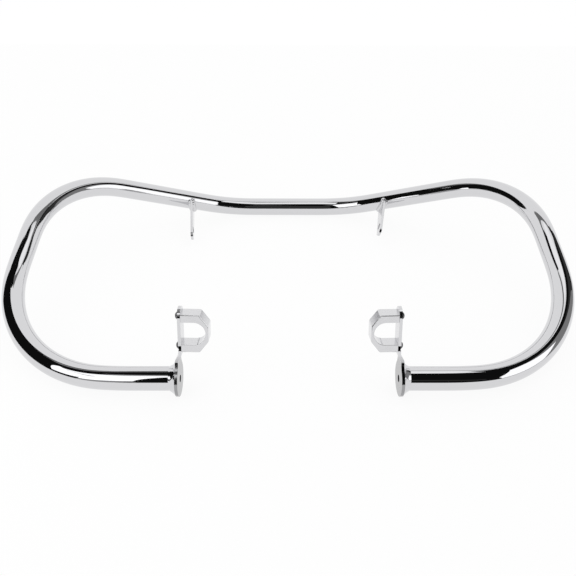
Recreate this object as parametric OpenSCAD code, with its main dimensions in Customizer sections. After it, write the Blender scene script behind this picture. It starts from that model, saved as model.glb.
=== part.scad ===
// Engine guard (crash bars) for a motorcycle: one bent chromed tube with two leg loops,
// a keyhole-shaped mounting plate welded to each end, a U-shaped half clamp screwed to each
// plate, and two drilled tabs welded under the upper run.
// It lies as it rests on a flat floor: +Z up, +X to the right, +Y towards the upper run.

/* [Tube] */
// Outside diameter of the bent tube
tube_d = 31.75; // [28:0.25:35]
// Wall thickness of the tube
tube_wall = 2.4; // [1.6:0.1:4]

/* [Route of the tube] */
// Half the distance between the two bends beside the straight middle
mid_x = 112; // [100:1:125]
// Half the width between the shoulder bends' corner points
shoulder_x = 387; // [377:1:397]
// How far the shoulders come forward of the upper run
shoulder_y = 136; // [120:1:150]
// How far the shoulders rise above the upper run
shoulder_z = 125; // [115:1:135]
// Half the width between the lower corners' corner points
corner_x = 416; // [410:1:426]
// How far the lower corners come forward of the upper run
corner_y = 463; // [455:1:475]
// How far the lower corners' corner points lie under the upper run
corner_drop = 11; // [2:0.5:11]
// Half the distance between the slight bends before the ends
end_x = 224; // [216:1:226]
// How far the two end runs come forward of the upper run
end_y = 499; // [493:1:510]
// Bend radius beside the straight middle
mid_bend_r = 150; // [120:1:165]
// Bend radius of the shoulders
shoulder_bend_r = 161; // [140:1:170]
// Bend radius of the lower corners
corner_bend_r = 184; // [165:1:185]
// Bend radius of the slight bends before the ends
end_bend_r = 184; // [150:1:195]

/* [Mounting plates] */
// Clear distance between the two round feet, measured at the tube's axis
plate_gap = 282.4; // [266:0.2:300]
// Thickness of each plate
plate_t = 4; // [3:0.5:6]
// Diameter of the round foot that the tube is welded to
foot_d = 47; // [42:0.5:52]
// Width of the strap that rises from the foot
strap_w = 24; // [22:0.5:28]
// Length from the tube's axis to the rounded tip of the strap
strap_len = 99.4; // [97:0.2:110]
// Radius of the hollow corners between foot and strap
strap_fillet = 20; // [10:1:30]
// How far the strap leans away from upright, in degrees
strap_lean = 15; // [10:1:25]
// How far the strap tips towards the other plate, in degrees
strap_tilt = 0.5; // [0:0.5:3]
// How far the far edge of each plate turns inwards, in degrees
plate_toe = 1.6; // [0:0.1:2]
// How far the strap is set towards the other plate from its foot
plate_joggle = 5; // [0.5:0.5:7]
// Diameter of the vent hole in the middle of the foot
vent_d = 9.5; // [6:0.5:12]

/* [Clamps] */
// Diameter of the clamp's round seat for the frame tube
seat_d = 30; // [28:0.5:31]
// Length of the clamp along the frame tube
clamp_len = 23.6; // [20:0.2:28]
// Thickness of each clamp arm beside the seat
arm_t = 10; // [9:0.1:11]
// Wall of the clamp at its crown
crown_wall = 3.5; // [3:0.5:6]
// Depth of the straight part of the seat
seat_depth = 16; // [15:0.5:20]
// Distance from the tube's axis to the middle of the clamp, along the strap
clamp_at = 67.2; // [66.8:0.2:70]
// Half the width of the flat crown
crown_half = 10.4; // [8:0.2:13]
// Height at which the clamp's slanted flanks begin
flank_start = 23.2; // [22:0.2:26]
// Radius on the clamp's outer corners
corner_r = 4; // [1:0.5:6]
// Bevel on the clamp's outer edges
clamp_bevel = 0.8; // [0.2:0.1:1.2]

/* [Screws] */
// Thread diameter of the clamp screws
screw_d = 6; // [5:1:6]
// Length of the screws under the head
screw_len = 25; // [20:1:25]
// Diameter of the domed screw head
head_d = 10.5; // [9:0.1:11]
// Height of the domed screw head
head_h = 3.3; // [2.8:0.1:4]
// Width across the flats of the hexagon socket
socket_af = 4; // [3:0.5:4]
// Depth of the hexagon socket
socket_depth = 2; // [1.5:0.1:2.4]
// Outside diameter of the washers
washer_d = 12; // [11:0.5:12.5]
// Thickness of the washers
washer_t = 1.2; // [0.8:0.1:1.6]
// Clearance of the plate's and washers' holes over the thread
screw_clear = 0.8; // [0.4:0.1:1.2]

/* [Tabs] */
// Half the distance between the two tabs where they meet the tube
tab_x = 175.5; // [170:0.5:200]
// Length of a tab from the tube's axis to its tip
tab_len = 92; // [80:1:100]
// Width of a tab at the tube's axis
tab_root_w = 29; // [24:1:32]
// Radius of the rounded tip
tab_tip_r = 8.5; // [8:0.5:11]
// Thickness of the tabs
tab_t = 4; // [3:0.5:6]
// Diameter of the bolt hole in each tab
tab_hole_d = 11; // [6:0.5:12]
// Distance from the bolt hole to the tip
tab_edge = 20; // [14:0.5:24]
// How far the left tab points down from level, in degrees
tab_drop_left = 20.5; // [10:0.5:21]
// How far the right tab points down from level, in degrees
tab_drop_right = 13.5; // [10:0.5:21]
// How far the left tab turns towards the middle, in degrees
tab_toe_left = 4.5; // [0:0.5:12]
// How far the right tab turns towards the middle, in degrees
tab_toe_right = 9.5; // [0:0.5:12]
// How far the left tab is twisted to face upwards, in degrees
tab_twist_left = 3; // [0:0.5:20]
// How far the right tab is twisted to face upwards, in degrees
tab_twist_right = 17.5; // [0:0.5:20]

/* [Welds] */
// Width of the end weld on the plate, from the tube outwards
weld_leg = 7; // [3:0.5:7]
// Length of the end weld along the tube
weld_run = 9.5; // [5:0.5:12]
// Radius of the weld beads beside the tabs
bead_r = 4.5; // [3:0.5:6]

/* [Hidden] */
$fn = 96;

chrome = [0.86, 0.87, 0.88];
polished = [0.82, 0.83, 0.84];
weld_grey = [0.74, 0.75, 0.77];
steel = [0.45, 0.46, 0.48];

tube_r = tube_d / 2;
foot_r = foot_d / 2;
seat_r = seat_d / 2;
big = 200;
bend_lap = 1;
bend_thin = 0.03;
fillet_lap = 0.05;

// The whole guard is this deep, and its origin is under the middle of that depth
depth = end_y + foot_r + tube_r;
run_y = depth / 2 - tube_r;
run_z = tube_r;
end_z = foot_r;

// Corner points of the right half of the tube's centre line
V_MID = [mid_x, run_y, run_z];
V_SHOULDER = [shoulder_x, run_y - shoulder_y, run_z + shoulder_z];
V_CORNER = [corner_x, run_y - corner_y, run_z - corner_drop];
V_BEND = [end_x, run_y - end_y, end_z];
V_END = [plate_gap / 2 - 20, run_y - end_y, end_z];
ROUTE = [mirrored(V_END), mirrored(V_BEND), mirrored(V_CORNER), mirrored(V_SHOULDER),
    mirrored(V_MID), V_MID, V_SHOULDER, V_CORNER, V_BEND, V_END];
BENDS = [0, end_bend_r, corner_bend_r, shoulder_bend_r, mid_bend_r, mid_bend_r,
    shoulder_bend_r, corner_bend_r, end_bend_r, 0];

function mirrored(p) = [-p.x, p.y, p.z];
function unit(v) = v / norm(v);
function turn(a, b, c) = acos(unit(b - a) * unit(c - b));
function cut_back(i) = i == 0 || i == len(ROUTE) - 1 ? 0
    : BENDS[i] * tan(turn(ROUTE[i - 1], ROUTE[i], ROUTE[i + 1]) / 2);

// Right-hand plate: u runs up the strap, v across it, w towards the other plate
lean_u = [0, sin(strap_lean), cos(strap_lean)];
lean_v = [0, cos(strap_lean), -sin(strap_lean)];
tilt_w = [-cos(strap_tilt), 0, 0] - lean_u * sin(strap_tilt);
PLATE_U = lean_u * cos(strap_tilt) + [-sin(strap_tilt), 0, 0];
PLATE_V = lean_v * cos(plate_toe) + tilt_w * sin(plate_toe);
PLATE_W = tilt_w * cos(plate_toe) - lean_v * sin(plate_toe);
PLATE_AT = [plate_gap / 2 - plate_joggle, run_y - end_y, end_z];

// The strap leaves the foot's plane at the first of these distances and is in its own at the second
joggle_from = 27;
joggle_to = 39;
joggle_steps = 12;
foot_back = plate_joggle + plate_t;

// The clamp arms are drilled along their middle
screw_offset = seat_r + arm_t / 2;
clamp_half = seat_r + arm_t;
clamp_height = seat_depth + seat_r + crown_wall;
thread_depth = screw_len - washer_t - plate_t;
thread_gap = 0.05;
slot_w = screw_d + screw_clear;
CLAMP_OUTLINE = [[-clamp_half, 0], [clamp_half, 0], [clamp_half, flank_start],
    [crown_half, clamp_height], [-crown_half, clamp_height], [-clamp_half, flank_start]];

// Each tab leaves the tube at the same place, but was welded on at its own three angles
LEFT_TAB = [tab_drop_left, tab_toe_left, tab_twist_left];
RIGHT_TAB = [tab_drop_right, tab_toe_right, tab_twist_right];
arm_dir = unit(V_SHOULDER - V_MID);
TAB_AT = V_MID + (V_SHOULDER - V_MID) * (tab_x - mid_x) / (shoulder_x - mid_x);
tab_taper = asin((tab_root_w / 2 - tab_tip_r) / (tab_len - tab_tip_r));
bead_step = 3;

// Directions along a tab, level beside it, through its thickness and across it
function tab_along(t) = [-cos(t[0]) * sin(t[1]), -cos(t[0]) * cos(t[1]), -sin(t[0])];
function tab_level(t) = [cos(t[1]), -sin(t[1]), 0];
function tab_through(t) =
    tab_level(t) * cos(t[2]) + cross(tab_level(t), tab_along(t)) * sin(t[2]);
function tab_across(t) = cross(tab_through(t), tab_along(t));

// Distance along the tab at which its face meets the tube, at width y and thickness z
function meet(t, y, z) =
    let (d = tab_along(t),
        q = tab_across(t) * y + tab_through(t) * z,
        da = d * arm_dir,
        qa = q * arm_dir,
        a = 1 - da * da,
        b = d * q - da * qa,
        c = q * q - qa * qa - tube_r * tube_r)
    (-b + sqrt(b * b - a * c)) / a;

module framed(at, x, y, z) {
    multmatrix([[x.x, y.x, z.x, at.x], [x.y, y.y, z.y, at.y], [x.z, y.z, z.z, at.z]]) children();
}

module on_plate() {
    framed(PLATE_AT, PLATE_U, PLATE_V, PLATE_W) children();
}

module on_tab(t) {
    framed(TAB_AT, tab_along(t), tab_across(t), tab_through(t)) children();
}

module left() {
    mirror([1, 0, 0]) children();
}

// Round bar between two points
module rod(p, q, d) {
    z = unit(q - p);
    x = unit(cross(abs(z.x) > 0.9 ? [0, 1, 0] : [1, 0, 0], z));
    framed(p, x, cross(z, x), z) cylinder(h = norm(q - p), d = d);
}

// Round bar that turns the corner at b with the given bend radius
module elbow(a, b, c, r, d) {
    u = unit(b - a);
    w = unit(c - b);
    m = unit(w - u * (w * u));
    t = turn(a, b, c);
    start = b - u * r * tan(t / 2);
    framed(start + m * r, -m, u, cross(-m, u))
        rotate_extrude(angle = t) translate([r, 0]) circle(d = d);
}

// The whole route as a round bar. Each straight laps over the bends beside it, and the bends
// are drawn thinner by a hair, as bending leaves them
module route(d) {
    for (i = [0 : len(ROUTE) - 2]) {
        dir = unit(ROUTE[i + 1] - ROUTE[i]);
        rod(ROUTE[i] + dir * (cut_back(i) - bend_lap), ROUTE[i + 1] - dir * (cut_back(i + 1) - bend_lap), d);
    }
    for (i = [1 : len(ROUTE) - 2])
        elbow(ROUTE[i - 1], ROUTE[i], ROUTE[i + 1], BENDS[i], d - 2 * bend_thin);
}

// Everything on the inner side of a foot's outer face
module past_plate() {
    on_plate() translate([-big / 2, -big / 2, -foot_back]) cube([big, big, big / 2]);
}

module guard_tube() {
    color(chrome) difference() {
        route(tube_d);
        route(tube_d - 2 * tube_wall);
        past_plate();
        left() past_plate();
    }
}

// Outline of foot and strap with hollow corners between them, as a block
module plate_block(h) {
    half = strap_w / 2;
    side = half + strap_fillet - fillet_lap;
    up = sqrt(pow(foot_r + strap_fillet - fillet_lap, 2) - side * side);
    cylinder(h = h, r = foot_r);
    translate([0, -half, 0]) cube([strap_len - half, strap_w, h]);
    translate([strap_len - half, 0, 0]) cylinder(h = h, r = half);
    linear_extrude(h) difference() {
        polygon([[0, 0], [up, side], [up, -side]]);
        for (s = [-1, 1])
            translate([up, s * side]) circle(r = strap_fillet);
    }
}

// Point and outward direction on the joggle's inner face, at step i
function joggle_turn(i) = 180 * i / joggle_steps;
function joggle_at(i) = [joggle_from + (joggle_to - joggle_from) * i / joggle_steps,
    -plate_joggle * (1 + cos(joggle_turn(i))) / 2];
function joggle_out(i) =
    unit([plate_joggle * sin(joggle_turn(i)) * PI / 2 / (joggle_to - joggle_from), -1]);

// Sheet that lies in the foot's plane, then steps over into the strap's plane
module joggled_sheet() {
    inner = [[-big, -plate_joggle], for (i = [0 : joggle_steps]) joggle_at(i), [big, 0]];
    outer = [[big, -plate_t], for (i = [joggle_steps : -1 : 0]) joggle_at(i) + joggle_out(i) * plate_t,
        [-big, -foot_back]];
    rotate([90, 0, 0]) linear_extrude(big, center = true) polygon(concat(inner, outer));
}

// Slot for the lower clamp screw, open towards the front edge of the strap
module screw_slot(at) {
    screw_hole(at);
    translate([at - slot_w / 2, -strap_w, -plate_t - 1]) cube([slot_w, strap_w, plate_t + 2]);
}

module screw_hole(at) {
    translate([at, 0, -plate_t - 1]) cylinder(h = plate_t + 2, d = slot_w);
}

module plate() {
    color(polished) on_plate() difference() {
        intersection() {
            translate([0, 0, -foot_back - 1]) plate_block(foot_back + 2);
            joggled_sheet();
        }
        translate([0, 0, -foot_back - 1]) cylinder(h = plate_t + 2, d = vent_d);
        screw_slot(clamp_at - screw_offset);
        screw_hole(clamp_at + screw_offset);
    }
}

// Slightly hollow weld that flares from the tube to the plate
module end_weld() {
    x0 = plate_gap / 2 + plate_t;
    color(weld_grey) difference() {
        translate([x0, run_y - end_y, end_z]) rotate([0, 90, 0]) rotate_extrude() polygon([
            [tube_r, -4], [tube_r + weld_leg, -4], [tube_r + weld_leg, 0.5],
            [tube_r + weld_leg * 0.66, weld_run * 0.3], [tube_r + weld_leg * 0.31, weld_run * 0.62],
            [tube_r, weld_run]]);
        past_plate();
    }
}

// Outline with its corners replaced by arcs, as straight-sided fill plus discs
function ring_at(v, i) = v[(i + len(v)) % len(v)];
function corner_turn(v, i) = turn(ring_at(v, i - 1), v[i], ring_at(v, i + 1));
function corner_in(v, i) = v[i] - unit(v[i] - ring_at(v, i - 1)) * corner_r * tan(corner_turn(v, i) / 2);
function corner_out(v, i) = v[i] + unit(ring_at(v, i + 1) - v[i]) * corner_r * tan(corner_turn(v, i) / 2);
function corner_mid(v, i) =
    let (d = unit(v[i] - ring_at(v, i - 1)))
    corner_in(v, i) + [-d.y, d.x] * corner_r;

module clamp_outline() {
    v = CLAMP_OUTLINE;
    polygon([v[0], v[1], for (i = [2 : 5]) each [corner_in(v, i), corner_out(v, i)]]);
    for (i = [2 : 5])
        translate(corner_mid(v, i)) circle(r = corner_r);
}

// Bar that bevels the clamp's two outer edges over the outline side from p to q
module bevel_cut(p, q) {
    d = unit(q - p);
    side = clamp_bevel * sqrt(2);
    for (s = [-1, 1])
        translate([p.x, s * clamp_len / 2, p.y]) rotate([0, -atan2(d.y, d.x), 0]) rotate([45, 0, 0])
            translate([-1, -side / 2, -side / 2]) cube([norm(q - p) + 2, side, side]);
}

module clamp() {
    v = CLAMP_OUTLINE;
    color(polished) on_plate() translate([clamp_at, 0, 0]) difference() {
        rotate([90, 0, 0]) linear_extrude(clamp_len, center = true) clamp_outline();
        rotate([90, 0, 0]) translate([0, seat_depth, 0])
            cylinder(h = clamp_len + 2, d = seat_d, center = true);
        translate([-seat_r, -clamp_len, -1]) cube([seat_d, 2 * clamp_len, seat_depth + 1]);
        for (s = [-1, 1])
            translate([s * screw_offset, 0, -1]) cylinder(h = thread_depth + 3, d = screw_d + 2 * thread_gap);
        for (i = [1 : 5])
            bevel_cut(v[i], ring_at(v, i + 1));
    }
}

// Domed screw with a hexagon socket, head on the outer side of the plate
module screw(s) {
    dome_r = (head_d * head_d / 4 + head_h * head_h) / (2 * head_h);
    color(steel) on_plate() translate([clamp_at + s * screw_offset, 0, -plate_t - washer_t]) {
        difference() {
            union() {
                cylinder(h = screw_len, d = screw_d);
                intersection() {
                    translate([0, 0, dome_r - head_h]) sphere(r = dome_r);
                    translate([0, 0, -head_h - 1]) cylinder(h = head_h + 1, d = head_d + 2);
                }
            }
            translate([0, 0, -head_h - 1])
                cylinder(h = socket_depth + 1, d = socket_af / cos(30), $fn = 6);
        }
    }
}

module washer(s) {
    color(steel) on_plate() translate([clamp_at + s * screw_offset, 0, -plate_t - washer_t])
        difference() {
            cylinder(h = washer_t, d = washer_d);
            translate([0, 0, -1]) cylinder(h = washer_t + 2, d = screw_d + screw_clear);
        }
}

module tab(t) {
    color(polished) difference() {
        on_tab(t) difference() {
            translate([0, 0, -tab_t / 2]) {
                side_r = tab_tip_r - fillet_lap;
                x1 = tab_len - tab_tip_r + side_r * sin(tab_taper);
                y1 = side_r * cos(tab_taper);
                y0 = y1 + x1 * tan(tab_taper);
                linear_extrude(tab_t) polygon([[0, -y0], [x1, -y1], [x1, y1], [0, y0]]);
                translate([tab_len - tab_tip_r, 0, 0]) cylinder(h = tab_t, r = tab_tip_r);
            }
            translate([tab_len - tab_edge, 0, -tab_t]) cylinder(h = 2 * tab_t, d = tab_hole_d);
        }
        rod(V_MID, V_SHOULDER, tube_d);
    }
}

// Weld bead on one face of a tab: overlapping drops along the line where it meets the tube
module tab_bead(t, s) {
    half = tab_root_w / 2 - 2;
    steps = round(2 * half / bead_step);
    color(weld_grey) difference() {
        on_tab(t) intersection() {
            for (i = [0 : steps]) {
                y = -half + 2 * half * i / steps;
                translate([meet(t, y, s * tab_t / 2), y, s * tab_t / 2]) sphere(r = bead_r, $fn = 32);
            }
            translate([-big / 2, -big / 2, s > 0 ? tab_t / 2 : -tab_t / 2 - big]) cube(big);
        }
        rod(V_MID, V_SHOULDER, tube_d);
    }
}

guard_tube();
left() plate();  // plate_left
plate();  // plate_right
left() end_weld();  // end_weld_left
end_weld();  // end_weld_right
left() clamp();  // clamp_left
clamp();  // clamp_right
left() screw(1);  // screw_left_upper
left() screw(-1);  // screw_left_lower
screw(1);  // screw_right_upper
screw(-1);  // screw_right_lower
left() washer(1);  // washer_left_upper
left() washer(-1);  // washer_left_lower
washer(1);  // washer_right_upper
washer(-1);  // washer_right_lower
left() tab(LEFT_TAB);  // tab_left
tab(RIGHT_TAB);  // tab_right
left() tab_bead(LEFT_TAB, 1);  // tab_bead_left_outer
left() tab_bead(LEFT_TAB, -1);  // tab_bead_left_inner
tab_bead(RIGHT_TAB, 1);  // tab_bead_right_outer
tab_bead(RIGHT_TAB, -1);  // tab_bead_right_inner
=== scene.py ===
"""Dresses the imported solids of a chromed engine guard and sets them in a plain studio.

The frame is loaded first. Then one operator after another bends the tube, finishes the plates, welds,
clamps, screws and tabs, and sets up the floor, the reflecting panels and the camera.
"""

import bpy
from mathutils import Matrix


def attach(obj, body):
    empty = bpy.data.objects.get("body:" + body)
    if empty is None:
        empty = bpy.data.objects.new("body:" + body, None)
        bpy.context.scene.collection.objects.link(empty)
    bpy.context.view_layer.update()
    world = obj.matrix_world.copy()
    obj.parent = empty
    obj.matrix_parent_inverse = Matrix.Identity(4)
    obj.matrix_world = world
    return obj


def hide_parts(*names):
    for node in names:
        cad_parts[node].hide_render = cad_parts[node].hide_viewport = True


bl_info = {
    "name": "Chromed engine guard",
    "version": (1, 0, 0),
    "blender": (4, 5, 0),
    "location": "3D View > Sidebar > Engine guard",
    "description": "Finishes the engine guard's parts and sets them in a plain studio",
    "category": "Object",
}

import math

import bmesh
import bpy
from bpy.props import FloatProperty, FloatVectorProperty, IntProperty, PointerProperty
from mathutils import Matrix, Vector

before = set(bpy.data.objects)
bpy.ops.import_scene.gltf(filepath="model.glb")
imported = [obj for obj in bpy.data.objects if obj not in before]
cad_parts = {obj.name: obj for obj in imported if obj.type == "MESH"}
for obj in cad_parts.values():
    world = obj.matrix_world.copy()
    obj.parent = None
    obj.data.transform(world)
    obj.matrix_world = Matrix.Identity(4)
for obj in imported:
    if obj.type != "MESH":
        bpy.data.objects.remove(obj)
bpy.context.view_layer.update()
BODY = "root"
SIDES = ("right", "left")
# Angle between the points along a bend's arc
ARC_STEP = math.radians(0.25)
# Distance between the tube's rings, and which of them the bore keeps
RING_SPACING = 0.004
BORE_RING_EVERY = 4
# A ring's place is the mean of this many on each side, taken this many times, which eases the bends
EASING_REACH = 3
EASING_ROUNDS = 2
# Middle of the plates' vent holes across the tube's end, how far the painted shade inside the holes reaches
# from it, and over what width that painted shade fades
VENT_CENTRE = (-0.2456875, 0.0235)
VENT_SHADE_REACH = 0.00485
VENT_SHADE_FADE = 0.0003
# Radius of the round foot, which carries a painted dark reflection, and how far from its middle the strap's
# full colour starts
FOOT_RADIUS = 0.0235
FOOT_REACH = 0.040
# Noise values between which the patches of roughness change
CLOUD_START = 0.3
CLOUD_END = 0.7
# Vertices closer than this are one
SAME_PLACE = 0.00001
# Faces that meet at a smaller angle are one flat face, and at a larger one they have an edge to ease
FLAT_ANGLE = math.radians(0.5)
EDGE_ANGLE = math.radians(28)
# Curved faces that meet at a larger angle keep a sharp line between them
LINE_ANGLE = math.radians(35)
# Weight at which the larger faces alone decide a corner's shading
LARGE_FACES_ONLY = 100
# Width of the camera's sensor in millimetres
SENSOR_WIDTH = 36.0
# Distance from the middle of the floor to its sides
FLOOR_REACH = 6.0


# Settings that a user would change


class GuardTubeSettings(bpy.types.PropertyGroup):
    """Route and section of the bent tube, with the corner points of its right half."""

    diameter: FloatProperty(
        name="Diameter",
        description="Outside diameter of the tube",
        default=0.03175,
        unit="LENGTH",
        precision=5,
    )
    wall: FloatProperty(
        name="Wall",
        description="Wall thickness of the tube",
        default=0.0024,
        unit="LENGTH",
        precision=4,
    )
    middle_corner: FloatVectorProperty(
        name="Middle corner",
        description="Corner point of the bend beside the straight middle",
        default=(0.112, 0.2533125, 0.015875),
        subtype="XYZ_LENGTH",
    )
    shoulder_corner: FloatVectorProperty(
        name="Shoulder corner",
        description="Corner point of the shoulder bend",
        default=(0.387, 0.1173125, 0.140875),
        subtype="XYZ_LENGTH",
    )
    lower_corner: FloatVectorProperty(
        name="Lower corner",
        description="Corner point of the lower bend",
        default=(0.416, -0.2096875, 0.004875),
        subtype="XYZ_LENGTH",
    )
    end_corner: FloatVectorProperty(
        name="End corner",
        description="Corner point of the slight bend before the end",
        default=(0.224, -0.2456875, 0.0235),
        subtype="XYZ_LENGTH",
    )
    end_point: FloatVectorProperty(
        name="End point",
        description="Where the centre line stops, inside the plate",
        default=(0.1432, -0.2456875, 0.0235),
        subtype="XYZ_LENGTH",
    )
    bend_radii: FloatVectorProperty(
        name="Bend radii",
        description="Radius of the middle, shoulder, lower and end bends",
        size=4,
        default=(0.150, 0.161, 0.184, 0.184),
        unit="LENGTH",
    )
    sides_round: IntProperty(
        name="Sides round",
        description="Number of faces round the tube",
        default=96,
        min=24,
    )


class GuardFinishSettings(bpy.types.PropertyGroup):
    """Colours and roughness of the metal finishes."""

    chrome: FloatVectorProperty(
        name="Chrome",
        description="Colour of the bright chrome plating",
        default=(0.665, 0.665, 0.68),
        subtype="COLOR",
    )
    satin: FloatVectorProperty(
        name="Satin chrome",
        description="Colour of the plating over ground plate and block",
        default=(0.68, 0.68, 0.695),
        subtype="COLOR",
    )
    # Painted reflection: this dark colour stands in for the dark room mirrored in the chromed screw heads
    painted_dark_screw_colour: FloatVectorProperty(
        name="Dark steel",
        description="Colour of the screws and washers",
        default=(0.11, 0.11, 0.115),
        subtype="COLOR",
    )
    # Painted shade: this dark colour stands in for the shade that falls inside the vent holes
    vent_painted_shade: FloatVectorProperty(
        name="Vent inside",
        description="Colour inside the vent holes, where plating hardly reaches",
        default=(0.03, 0.03, 0.03),
        subtype="COLOR",
    )
    # Painted reflection: the round feet are darkened to this share of the satin colour, standing in for
    # darker surroundings they mirror
    foot_painted_reflection_share: FloatProperty(
        name="Foot shine",
        description="Share of the satin chrome's brightness that the plates' round feet keep",
        default=0.5,
        subtype="FACTOR",
    )
    chrome_roughness: FloatProperty(
        name="Chrome roughness",
        description="Middle roughness of the bright chrome",
        default=0.03,
        subtype="FACTOR",
    )
    satin_roughness: FloatProperty(
        name="Satin roughness",
        description="Middle roughness of the plating over ground steel",
        default=0.125,
        subtype="FACTOR",
    )
    weld_roughness: FloatProperty(
        name="Weld roughness",
        description="Middle roughness of the plating over the welds",
        default=0.09,
        subtype="FACTOR",
    )
    steel_roughness: FloatProperty(
        name="Dark steel roughness",
        description="Middle roughness of the screws and washers",
        default=0.2,
        subtype="FACTOR",
    )


class GuardStudioSettings(bpy.types.PropertyGroup):
    """Camera and light of the plain studio."""

    camera_place: FloatVectorProperty(
        name="Camera place",
        description="Where the camera stands",
        default=(-0.00964, -0.91060, 0.61146),
        subtype="XYZ_LENGTH",
    )
    camera_pitch: FloatProperty(
        name="Camera pitch",
        description="How far the camera looks down",
        default=math.radians(33.911),
        subtype="ANGLE",
    )
    camera_heading: FloatProperty(
        name="Camera heading",
        description="How far the camera turns to the right",
        default=math.radians(0.584),
        subtype="ANGLE",
    )
    camera_roll: FloatProperty(
        name="Camera roll",
        description="How far the camera leans",
        default=math.radians(-0.395),
        subtype="ANGLE",
    )
    lens: FloatProperty(
        name="Lens",
        description="Focal length in millimetres",
        default=42.5,
        unit="CAMERA",
    )
    floor_colour: FloatVectorProperty(
        name="Floor colour",
        description="Colour of the matte floor",
        default=(0.92, 0.92, 0.92),
        subtype="COLOR",
    )
    floor_white: FloatProperty(
        name="Floor white",
        description="Share of the floor's own white, which lightens the shadow",
        default=0.9,
        subtype="FACTOR",
    )


# Small helpers for meshes


def shade_smooth(mesh):
    for face in mesh.polygons:
        face.use_smooth = True


def new_piece(name, mesh_data):
    """Links a bmesh as an object that rides on the guard's only body."""
    mesh = bpy.data.meshes.new(name)
    bmesh.ops.recalc_face_normals(mesh_data, faces=mesh_data.faces[:])
    mesh_data.to_mesh(mesh)
    mesh_data.free()
    shade_smooth(mesh)
    piece = bpy.data.objects.new(name, mesh)
    bpy.context.scene.collection.objects.link(piece)
    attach(piece, BODY)
    return piece


def mirrored(point):
    """The same point on the guard's other side."""
    return Vector((-point[0], point[1], point[2]))


def unit(vector):
    return Vector(vector).normalized()


# Route of the tube


def route_corners(settings):
    """Corner points from the right end over the upper run to the left end, with their bend radii."""
    half = [
        settings.end_point,
        settings.end_corner,
        settings.lower_corner,
        settings.shoulder_corner,
        settings.middle_corner,
    ]
    half = [Vector(point) for point in half]
    middle_radius, shoulder_radius, lower_radius, end_radius = settings.bend_radii
    radii = [0.0, end_radius, lower_radius, shoulder_radius, middle_radius]
    corners = half + [mirrored(point) for point in reversed(half)]
    return corners, radii + radii[::-1]


def bent_line(settings):
    """Points along the straight runs and true arcs of the centre line."""
    corners, radii = route_corners(settings)
    points = [corners[0]]
    for before, corner, after, radius in zip(corners, corners[1:], corners[2:], radii[1:]):
        incoming = unit(corner - before)
        outgoing = unit(after - corner)
        turn = incoming.angle(outgoing)
        inward = unit(outgoing - incoming * incoming.dot(outgoing))
        start = corner - incoming * radius * math.tan(turn / 2)
        centre = start + inward * radius
        count = max(1, round(turn / ARC_STEP))
        for i in range(count + 1):
            angle = turn * i / count
            points.append(centre - inward * radius * math.cos(angle) + incoming * radius * math.sin(angle))
    points.append(corners[-1])
    return points


def evenly_spaced(points, spacing, multiple):
    """The same line as points at even steps, whose number is one more than a multiple."""
    lengths = [0.0]
    for first, second in zip(points, points[1:]):
        lengths.append(lengths[-1] + (second - first).length)
    count = multiple * round(lengths[-1] / spacing / multiple)
    even = []
    i = 0
    for k in range(count + 1):
        target = lengths[-1] * k / count
        while i < len(points) - 2 and lengths[i + 1] < target:
            i += 1
        share = (target - lengths[i]) / (lengths[i + 1] - lengths[i])
        even.append(points[i].lerp(points[i + 1], share))
    return even


def eased(points, reach):
    """Each point becomes the mean of its neighbours, so that the bends start gently."""
    last = len(points) - 1
    result = []
    for k in range(last + 1):
        near = min(reach, k, last - k)
        total = Vector()
        for point in points[k - near:k + near + 1]:
            total += point
        result.append(total / (2 * near + 1))
    return result


def line_directions(points):
    """The line's direction at each point, from the points before and after it."""
    last = len(points) - 1
    return [unit(points[min(k + 1, last)] - points[max(k - 1, 0)]) for k in range(last + 1)]


def ring_frames(directions):
    """Two cross directions for each ring, carried along without twist."""
    across = unit(directions[0].cross(Vector((0, 0, 1))))
    frames = []
    for direction in directions:
        across = unit(across - direction * across.dot(direction))
        frames.append((across, direction.cross(across)))
    return frames


def sweep(mesh_data, points, frames, radius, sides):
    """Rings of vertices round the centre line, joined into a round wall."""
    rings = []
    for point, (across, up) in zip(points, frames):
        ring = []
        for i in range(sides):
            angle = 2 * math.pi * i / sides
            offset = across * math.cos(angle) + up * math.sin(angle)
            ring.append(mesh_data.verts.new(point + offset * radius))
        rings.append(ring)
    for first, second in zip(rings, rings[1:]):
        bridge(mesh_data, first, second)
    return rings


def bridge(mesh_data, first, second):
    """Joins two rings with a band of faces."""
    count = len(first)
    for i in range(count):
        j = (i + 1) % count
        mesh_data.faces.new((first[i], first[j], second[j], second[i]))


# Materials


def new_material(name, colour):
    """A metal of one colour, with its shader."""
    material = bpy.data.materials.new(name)
    material.use_nodes = True
    shader = material.node_tree.nodes["Principled BSDF"]
    shader.inputs["Metallic"].default_value = 1.0
    shader.inputs["Base Color"].default_value = (*colour, 1.0)
    return material, shader


def add_node(material, kind, **values):
    """A shader node with the named inputs set."""
    node = material.node_tree.nodes.new(kind)
    for name, value in values.items():
        node.inputs[name].default_value = value
    return node


def link(material, source, socket, target, target_socket):
    material.node_tree.links.new(source.outputs[socket], target.inputs[target_socket])


def noise_on_object(material, scale, detail, stretch=(1.0, 1.0, 1.0)):
    """Noise that is placed in the object's own metres and stretched along its axes."""
    coordinates = add_node(material, "ShaderNodeTexCoord")
    mapping = add_node(material, "ShaderNodeMapping", Scale=stretch)
    noise = add_node(material, "ShaderNodeTexNoise", Scale=scale, Detail=detail)
    link(material, coordinates, "Object", mapping, "Vector")
    link(material, mapping, "Vector", noise, "Vector")
    return noise


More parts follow.
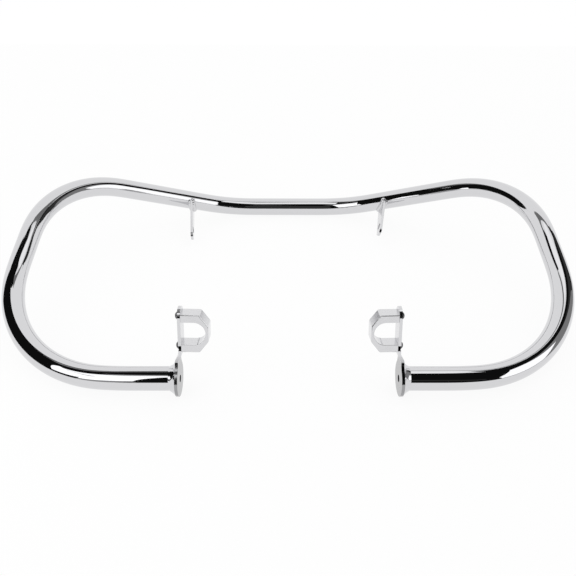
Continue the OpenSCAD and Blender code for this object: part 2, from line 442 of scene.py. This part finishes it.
def vary_roughness(material, shader, scale, middle, share):
    """Cloudy patches of finger marks and polish, a share below and above the middle roughness."""
    clouds = noise_on_object(material, scale, detail=4.0)
    spread = add_node(material, "ShaderNodeMapRange")
    spread.inputs["From Min"].default_value = CLOUD_START
    spread.inputs["From Max"].default_value = CLOUD_END
    spread.inputs["To Min"].default_value = middle * (1 - share)
    spread.inputs["To Max"].default_value = middle * (1 + share)
    link(material, clouds, "Fac", spread, "Value")
    link(material, spread, "Result", shader, "Roughness")


def add_relief(material, shader, texture, strength, depth):
    """Relief from a texture, with its depth in metres."""
    bump = add_node(material, "ShaderNodeBump", Strength=strength, Distance=depth)
    link(material, texture, "Fac", bump, "Height")
    link(material, bump, "Normal", shader, "Normal")


def chrome_plating(settings):
    """Mirror chrome over a drawn and polished tube: faint waves under a cloudy haze."""
    material, shader = new_material("chrome_plating", settings.chrome)
    vary_roughness(material, shader, scale=14.0, middle=settings.chrome_roughness, share=0.5)
    waves = noise_on_object(material, scale=22.0, detail=1.0)
    add_relief(material, shader, waves, strength=0.25, depth=0.0004)
    return material


def satin_plating(settings, name="satin_plating"):
    """Chrome over ground steel: fine grinding lines under a softer shine."""
    material, shader = new_material(name, settings.satin)
    vary_roughness(material, shader, scale=60.0, middle=settings.satin_roughness, share=0.28)
    lines = noise_on_object(material, scale=300.0, detail=3.0, stretch=(1.0, 0.08, 1.0))
    add_relief(material, shader, lines, strength=0.04, depth=0.0001)
    return material


def plate_plating_painted_shade(settings):
    """Satin chrome, with a painted dark reflection on the round foot and painted shade inside the vent
    hole.
    """
    material = satin_plating(settings, "plate_plating_painted_shade")
    shader = material.node_tree.nodes["Principled BSDF"]
    coordinates = add_node(material, "ShaderNodeTexCoord")
    across = add_node(material, "ShaderNodeMapping", Scale=(0.0, 1.0, 1.0))
    across.inputs["Location"].default_value = (0.0, -VENT_CENTRE[0], -VENT_CENTRE[1])
    link(material, coordinates, "Object", across, "Vector")
    distance = add_node(material, "ShaderNodeVectorMath")
    distance.operation = "LENGTH"
    link(material, across, "Vector", distance, 0)
    outwards = add_node(material, "ShaderNodeMapRange")
    outwards.inputs["From Max"].default_value = FOOT_REACH
    link(material, distance, "Value", outwards, "Value")
    # Painted shade inside the vent hole and a painted dark reflection on the round foot, set as colour by
    # distance from the vent's axis
    painted_shade_ramp = add_node(material, "ShaderNodeValToRGB")
    ramp = painted_shade_ramp.color_ramp.elements
    ramp[0].position = VENT_SHADE_REACH / FOOT_REACH
    ramp[0].color = (*settings.vent_painted_shade, 1.0)
    ramp[1].position = 1.0
    ramp[1].color = (*settings.satin, 1.0)
    # Painted dark reflection on the round foot: the satin colour scaled down by the foot's share
    for position in (VENT_SHADE_REACH + VENT_SHADE_FADE, FOOT_RADIUS):
        stop = ramp.new(position / FOOT_REACH)
        stop.color = (*[settings.foot_painted_reflection_share * share for share in settings.satin], 1.0)
    link(material, outwards, "Result", painted_shade_ramp, "Fac")
    link(material, painted_shade_ramp, "Color", shader, "Base Color")
    return material


def weld_plating(settings):
    """Chrome over a smoothed weld bead, a little rippled."""
    material, shader = new_material("weld_plating", settings.chrome)
    vary_roughness(material, shader, scale=90.0, middle=settings.weld_roughness, share=1 / 3)
    ripples = noise_on_object(material, scale=120.0, detail=1.0)
    add_relief(material, shader, ripples, strength=0.12, depth=0.0004)
    return material


def screw_painted_reflection(settings):
    """Steel screws and washers whose dark colour is a painted reflection of the dark room in chrome, with
    fine grain and patches of wear.
    """
    material, shader = new_material("screw_painted_reflection", settings.painted_dark_screw_colour)
    vary_roughness(material, shader, scale=200.0, middle=settings.steel_roughness, share=0.3)
    grain = noise_on_object(material, scale=500.0, detail=3.0)
    add_relief(material, shader, grain, strength=0.08, depth=0.0001)
    return material


def finish(name):
    """The named finish, made once and shared."""
    makers = {
        "chrome_plating": chrome_plating,
        "satin_plating": satin_plating,
        "plate_plating_painted_shade": plate_plating_painted_shade,
        "weld_plating": weld_plating,
        "screw_painted_reflection": screw_painted_reflection,
    }
    if name in bpy.data.materials:
        return bpy.data.materials[name]
    return makers[name](bpy.context.scene.guard_finish)


def dress(piece, material):
    piece.data.materials.clear()
    piece.data.materials.append(material)


def join_vertices(piece):
    weld = piece.modifiers.new("Join vertices", "WELD")
    weld.merge_threshold = SAME_PLACE


def ease_edges(piece, width, segments=3):
    """Rounds the sharp edges of a solid and keeps its flat faces flat."""
    join_vertices(piece)
    flat = piece.modifiers.new("Flat faces", "DECIMATE")
    flat.decimate_type = "DISSOLVE"
    flat.angle_limit = FLAT_ANGLE
    flat.delimit = {"NORMAL"}
    bevel = piece.modifiers.new("Eased edges", "BEVEL")
    bevel.width = width
    bevel.segments = segments
    bevel.limit_method = "ANGLE"
    bevel.angle_limit = EDGE_ANGLE
    shading = piece.modifiers.new("Flat shading", "WEIGHTED_NORMAL")
    shading.mode = "FACE_AREA"
    shading.weight = LARGE_FACES_ONLY
    shade_smooth(piece.data)


def smooth_curves(piece):
    """Shades curved faces smoothly and keeps the sharp lines between them."""
    join_vertices(piece)
    split = piece.modifiers.new("Sharp lines", "EDGE_SPLIT")
    split.split_angle = LINE_ANGLE
    shade_smooth(piece.data)


# Operators, one for each piece or group of like pieces


class GUARD_OT_bend_tube(bpy.types.Operator):
    """Bends the chromed tube along its route, hollow, with true round walls"""

    bl_idname = "guard.bend_tube"
    bl_label = "Bend the tube"

    def execute(self, context):
        settings = context.scene.guard_tube
        points = evenly_spaced(bent_line(settings), RING_SPACING, BORE_RING_EVERY)
        for easing in range(EASING_ROUNDS):
            points = eased(points, EASING_REACH)
        frames = ring_frames(line_directions(points))
        tube = bmesh.new()
        radius = settings.diameter / 2
        outer = sweep(tube, points, frames, radius, settings.sides_round)
        bore_points = points[::BORE_RING_EVERY]
        bore_frames = frames[::BORE_RING_EVERY]
        inner = sweep(tube, bore_points, bore_frames, radius - settings.wall, settings.sides_round)
        for end in (0, -1):
            bridge(tube, outer[end], inner[end])
        piece = new_piece("bent_tube", tube)
        dress(piece, finish("chrome_plating"))
        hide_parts("guard_tube")
        return {"FINISHED"}


class GUARD_OT_finish_plates(bpy.types.Operator):
    """Finishes the two keyhole-shaped mounting plates"""

    bl_idname = "guard.finish_plates"
    bl_label = "Finish the plates"

    def execute(self, context):
        for side in SIDES:
            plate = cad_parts["plate_" + side]
            dress(plate, finish("plate_plating_painted_shade"))
            ease_edges(plate, width=0.0006)
        return {"FINISHED"}


class GUARD_OT_finish_clamps(bpy.types.Operator):
    """Finishes the two U-shaped half clamps"""

    bl_idname = "guard.finish_clamps"
    bl_label = "Finish the clamps"

    def execute(self, context):
        for side in SIDES:
            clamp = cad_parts["clamp_" + side]
            dress(clamp, finish("satin_plating"))
            ease_edges(clamp, width=0.0007)
        return {"FINISHED"}


class GUARD_OT_finish_screws(bpy.types.Operator):
    """Finishes the four domed screws and their washers"""

    bl_idname = "guard.finish_screws"
    bl_label = "Finish the screws and washers"

    def execute(self, context):
        for side in SIDES:
            for level in ("upper", "lower"):
                for kind in ("screw", "washer"):
                    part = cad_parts[f"{kind}_{side}_{level}"]
                    dress(part, finish("screw_painted_reflection"))
                    ease_edges(part, width=0.0002, segments=2)
        return {"FINISHED"}


class GUARD_OT_finish_tabs(bpy.types.Operator):
    """Finishes the two drilled tabs and the weld beads beside them"""

    bl_idname = "guard.finish_tabs"
    bl_label = "Finish the tabs"

    def execute(self, context):
        for side in SIDES:
            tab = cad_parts["tab_" + side]
            dress(tab, finish("satin_plating"))
            ease_edges(tab, width=0.0005)
            for face in ("outer", "inner"):
                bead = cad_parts[f"tab_bead_{side}_{face}"]
                dress(bead, finish("weld_plating"))
                smooth_curves(bead)
        return {"FINISHED"}


class GUARD_OT_finish_end_welds(bpy.types.Operator):
    """Finishes the smoothed welds between the tube's ends and the plates"""

    bl_idname = "guard.finish_end_welds"
    bl_label = "Finish the end welds"

    def execute(self, context):
        for side in SIDES:
            end_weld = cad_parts["end_weld_" + side]
            dress(end_weld, finish("weld_plating"))
            smooth_curves(end_weld)
        return {"FINISHED"}


# The room that the chrome mirrors: how far its walls and ceiling stand from the guard, in metres

ROOM_SIDE = 1.8
ROOM_BACK = 1.5
ROOM_FRONT = -1.5
ROOM_TOP = 1.5
# What the metal mirrors where no panel hangs
UNLIT_ROOM = 0.006


def on_ceiling(inset, *points):
    """Corners from points across and along the ceiling. On the walls, they run along and up."""
    return [(x, y, ROOM_TOP - inset) for x, y in points]


def on_left(inset, *points):
    return [(inset - ROOM_SIDE, y, z) for y, z in points]


def on_right(inset, *points):
    return [(ROOM_SIDE - inset, y, z) for y, z in points]


def on_back(inset, *points):
    return [(x, ROOM_BACK - inset, z) for x, z in points]


def on_front(inset, *points):
    return [(x, ROOM_FRONT + inset, z) for x, z in points]


# Name, strength and corners of each panel. Panels with an inset hang in front of the others
REFLECTED_ROOM = (
    ("back_wall", 1.0, on_back(0.0, (-1.8, 0.0), (1.8, 0.0), (1.8, 1.5), (-1.8, 1.5))),
    (
        "back_ceiling",
        1.0,
        on_ceiling(0.0, (1.8, 0.88), (1.8, 1.5), (-1.8, 1.5), (-1.8, 0.6), (-0.77, 0.31), (1.11, 0.53)),
    ),
    ("left_wall_back", 1.0, on_left(0.0, (0.5, 0.0), (1.5, 0.0), (1.5, 1.5), (0.58, 1.5))),
    (
        "right_wall_back",
        1.0,
        on_right(0.0, (0.75, 0.0), (1.5, 0.0), (1.5, 1.5), (1.05, 1.5), (0.8, 1.34)),
    ),
    ("overhead_edge", 1.0, on_ceiling(0.01, (1.37, 0.53), (-0.21, 0.3), (0.23, 0.19), (0.74, 0.15))),
    ("overhead", 1.18, on_ceiling(0.02, (1.16, -0.04), (0.65, 0.42), (-0.34, 0.11), (-0.37, -0.61))),
    ("overhead_gap", 0.2, on_ceiling(0.04, (1.2, 0.48), (1.2, 0.58), (-0.3, 0.4), (-0.3, 0.28))),
    (
        "front_ceiling",
        1.5,
        on_ceiling(0.0, (-1.67, -1.5), (-0.38, -1.5), (-0.38, -1.01), (-1.68, -0.51), (-1.8, -0.6)),
    ),
    (
        "front_left",
        1.7,
        on_front(0.0, (-0.49, 1.5), (-1.8, 1.5), (-1.8, 0.75), (-1.71, 0.34), (-0.51, 0.38)),
    ),
    (
        "front_left_low",
        0.35,
        on_front(0.0, (-1.8, 0.0), (-0.89, 0.0), (-0.47, 0.13), (-0.51, 0.35), (-1.71, 0.33)),
    ),
    ("front_dim", 0.05, on_front(0.0, (-0.2, 0.4), (0.2, 0.4), (0.2, 1.15), (-0.2, 1.15))),
    ("front_rail", 0.03, on_front(0.0, (0.2, 0.42), (1.4, 0.35), (1.4, 0.55), (0.2, 0.68))),
    ("left_corner", 1.6, on_left(0.0, (-0.76, 1.5), (-1.5, 1.5), (-1.5, 0.6))),
    ("near_left", 1.6, on_left(1.3, (-0.32, 0.07), (-0.255, 0.26), (-0.35, 0.22), (-0.44, 0.11))),
    (
        "right_grey",
        0.25,
        on_right(0.0, (-1.16, 0.0), (0.79, 0.0), (0.09, 1.37), (-0.08, 1.5), (-0.6, 1.5)),
    ),
    (
        "right_white",
        1.5,
        on_right(0.01, (-0.49, 0.06), (-0.18, 0.79), (-0.42, 1.5), (-0.68, 1.5), (-1.5, 0.5), (-1.5, 0.09)),
    ),
    ("right_gap", 0.04, on_right(0.02, (0.83, 1.5), (0.18, 1.5), (0.57, 0.14), (0.9, 0.52))),
    ("dim_patch", 0.35, on_ceiling(0.01, (-0.32, -1.1), (0.06, -0.97), (-0.76, -0.59), (-1.11, -0.49))),
    ("ceiling_gap", 0.29, on_ceiling(0.03, (0.2, 0.06), (-1.18, 0.28), (-1.25, 0.07), (0.18, 0.05))),
)


def stage_sheet(name, corners, material):
    """A flat sheet of the studio from its corners."""
    mesh = bpy.data.meshes.new(name)
    mesh.from_pydata([tuple(corner) for corner in corners], [], [tuple(range(len(corners)))])
    sheet = bpy.data.objects.new(name, mesh)
    bpy.context.scene.collection.objects.link(sheet)
    dress(sheet, material)
    return sheet


def glow(name, strength):
    """Plain light of one strength."""
    material = bpy.data.materials.new(name)
    material.use_nodes = True
    material.node_tree.nodes.clear()
    light = add_node(material, "ShaderNodeEmission", Strength=strength)
    output = add_node(material, "ShaderNodeOutputMaterial")
    link(material, light, "Emission", output, "Surface")
    return material


def light_panel(name, strength, corners):
    """A light panel that the metal mirrors and the camera doesn't see."""
    panel = stage_sheet(name, corners, glow(name, strength))
    panel.visible_camera = False
    panel.visible_shadow = False


def seen_in_polish(tree):
    """Above zero for camera, glossy and transmission rays."""
    path = tree.nodes.new("ShaderNodeLightPath")
    total = path.outputs["Is Camera Ray"]
    for name in ("Is Glossy Ray", "Is Transmission Ray"):
        larger = tree.nodes.new("ShaderNodeMath")
        larger.operation = "MAXIMUM"
        tree.links.new(total, larger.inputs[0])
        tree.links.new(path.outputs[name], larger.inputs[1])
        total = larger.outputs[0]
    return total


def floor_material(settings):
    """Pale matte floor, seen as nearly white, with the guard's soft shadow."""
    material = bpy.data.materials.new("pale_floor")
    material.use_nodes = True
    tree = material.node_tree
    tree.nodes.clear()
    matte = add_node(material, "ShaderNodeBsdfDiffuse", Color=(*settings.floor_colour, 1.0))
    white = add_node(material, "ShaderNodeEmission", Strength=1.0)
    output = add_node(material, "ShaderNodeOutputMaterial")
    mix = add_node(material, "ShaderNodeMixShader")
    share = add_node(material, "ShaderNodeMath")
    share.operation = "MULTIPLY"
    share.inputs[1].default_value = settings.floor_white
    tree.links.new(seen_in_polish(tree), share.inputs[0])
    tree.links.new(share.outputs[0], mix.inputs[0])
    tree.links.new(matte.outputs[0], mix.inputs[1])
    tree.links.new(white.outputs[0], mix.inputs[2])
    tree.links.new(mix.outputs[0], output.inputs["Surface"])
    return material


def studio_world():
    """White to the camera, nearly black to polished metal, and a plain soft light for matte surfaces."""
    world = bpy.data.worlds.new("studio")
    world.use_nodes = True
    tree = world.node_tree
    background = tree.nodes["Background"]
    background.inputs["Color"].default_value = (1.0, 1.0, 1.0, 1.0)
    path = tree.nodes.new("ShaderNodeLightPath")
    lit = tree.nodes.new("ShaderNodeMapRange")
    lit.inputs["To Min"].default_value = 1.0
    lit.inputs["To Max"].default_value = UNLIT_ROOM
    tree.links.new(path.outputs["Is Glossy Ray"], lit.inputs["Value"])
    tree.links.new(lit.outputs["Result"], background.inputs["Strength"])
    bpy.context.scene.world = world


def studio_camera(settings):
    """The camera, from its place, pitch, heading and roll."""
    pitch = settings.camera_pitch
    heading = settings.camera_heading
    roll = settings.camera_roll
    ahead = Vector((
        math.sin(heading) * math.cos(pitch),
        math.cos(heading) * math.cos(pitch),
        -math.sin(pitch),
    ))
    level = Vector((math.cos(heading), -math.sin(heading), 0.0))
    down = ahead.cross(level)
    right = level * math.cos(roll) + down * math.sin(roll)
    up = level * math.sin(roll) - down * math.cos(roll)
    turn = Matrix((right, up, -ahead)).transposed().to_4x4()
    data = bpy.data.cameras.new("photo_camera")
    data.sensor_width = SENSOR_WIDTH
    data.lens = settings.lens
    camera = bpy.data.objects.new("photo_camera", data)
    bpy.context.scene.collection.objects.link(camera)
    camera.matrix_world = Matrix.Translation(Vector(settings.camera_place)) @ turn
    bpy.context.scene.camera = camera


class GUARD_OT_set_stage(bpy.types.Operator):
    """Sets up the pale floor, the reflecting panels, the world and the camera"""

    bl_idname = "guard.set_stage"
    bl_label = "Set the stage"

    def execute(self, context):
        settings = context.scene.guard_studio
        far = FLOOR_REACH
        floor_corners = [(-far, -far, 0.0), (far, -far, 0.0), (far, far, 0.0), (-far, far, 0.0)]
        stage_sheet("floor", floor_corners, floor_material(settings))
        for panel in REFLECTED_ROOM:
            light_panel(*panel)
        studio_world()
        studio_camera(settings)
        context.scene.view_settings.view_transform = "Standard"
        return {"FINISHED"}


class GUARD_PT_panel(bpy.types.Panel):
    """Lists the steps that build and light the guard"""

    bl_label = "Engine guard"
    bl_idname = "GUARD_PT_panel"
    bl_space_type = "VIEW_3D"
    bl_region_type = "UI"
    bl_category = "Engine guard"

    def draw(self, context):
        for step in STEPS:
            self.layout.operator(step.bl_idname)


SETTINGS = {
    "guard_tube": GuardTubeSettings,
    "guard_finish": GuardFinishSettings,
    "guard_studio": GuardStudioSettings,
}
STEPS = (
    GUARD_OT_bend_tube,
    GUARD_OT_finish_plates,
    GUARD_OT_finish_end_welds,
    GUARD_OT_finish_clamps,
    GUARD_OT_finish_screws,
    GUARD_OT_finish_tabs,
    GUARD_OT_set_stage,
)


def register():
    for name, group in SETTINGS.items():
        bpy.utils.register_class(group)
        setattr(bpy.types.Scene, name, PointerProperty(type=group))
    for step in STEPS:
        bpy.utils.register_class(step)
    bpy.utils.register_class(GUARD_PT_panel)


def unregister():
    bpy.utils.unregister_class(GUARD_PT_panel)
    for step in reversed(STEPS):
        bpy.utils.unregister_class(step)
    for name, group in SETTINGS.items():
        delattr(bpy.types.Scene, name)
        bpy.utils.unregister_class(group)


def main():
    register()
    bpy.ops.guard.bend_tube()
    bpy.ops.guard.finish_plates()
    bpy.ops.guard.finish_end_welds()
    bpy.ops.guard.finish_clamps()
    bpy.ops.guard.finish_screws()
    bpy.ops.guard.finish_tabs()
    bpy.ops.guard.set_stage()


if __name__ == "__main__":
    main()
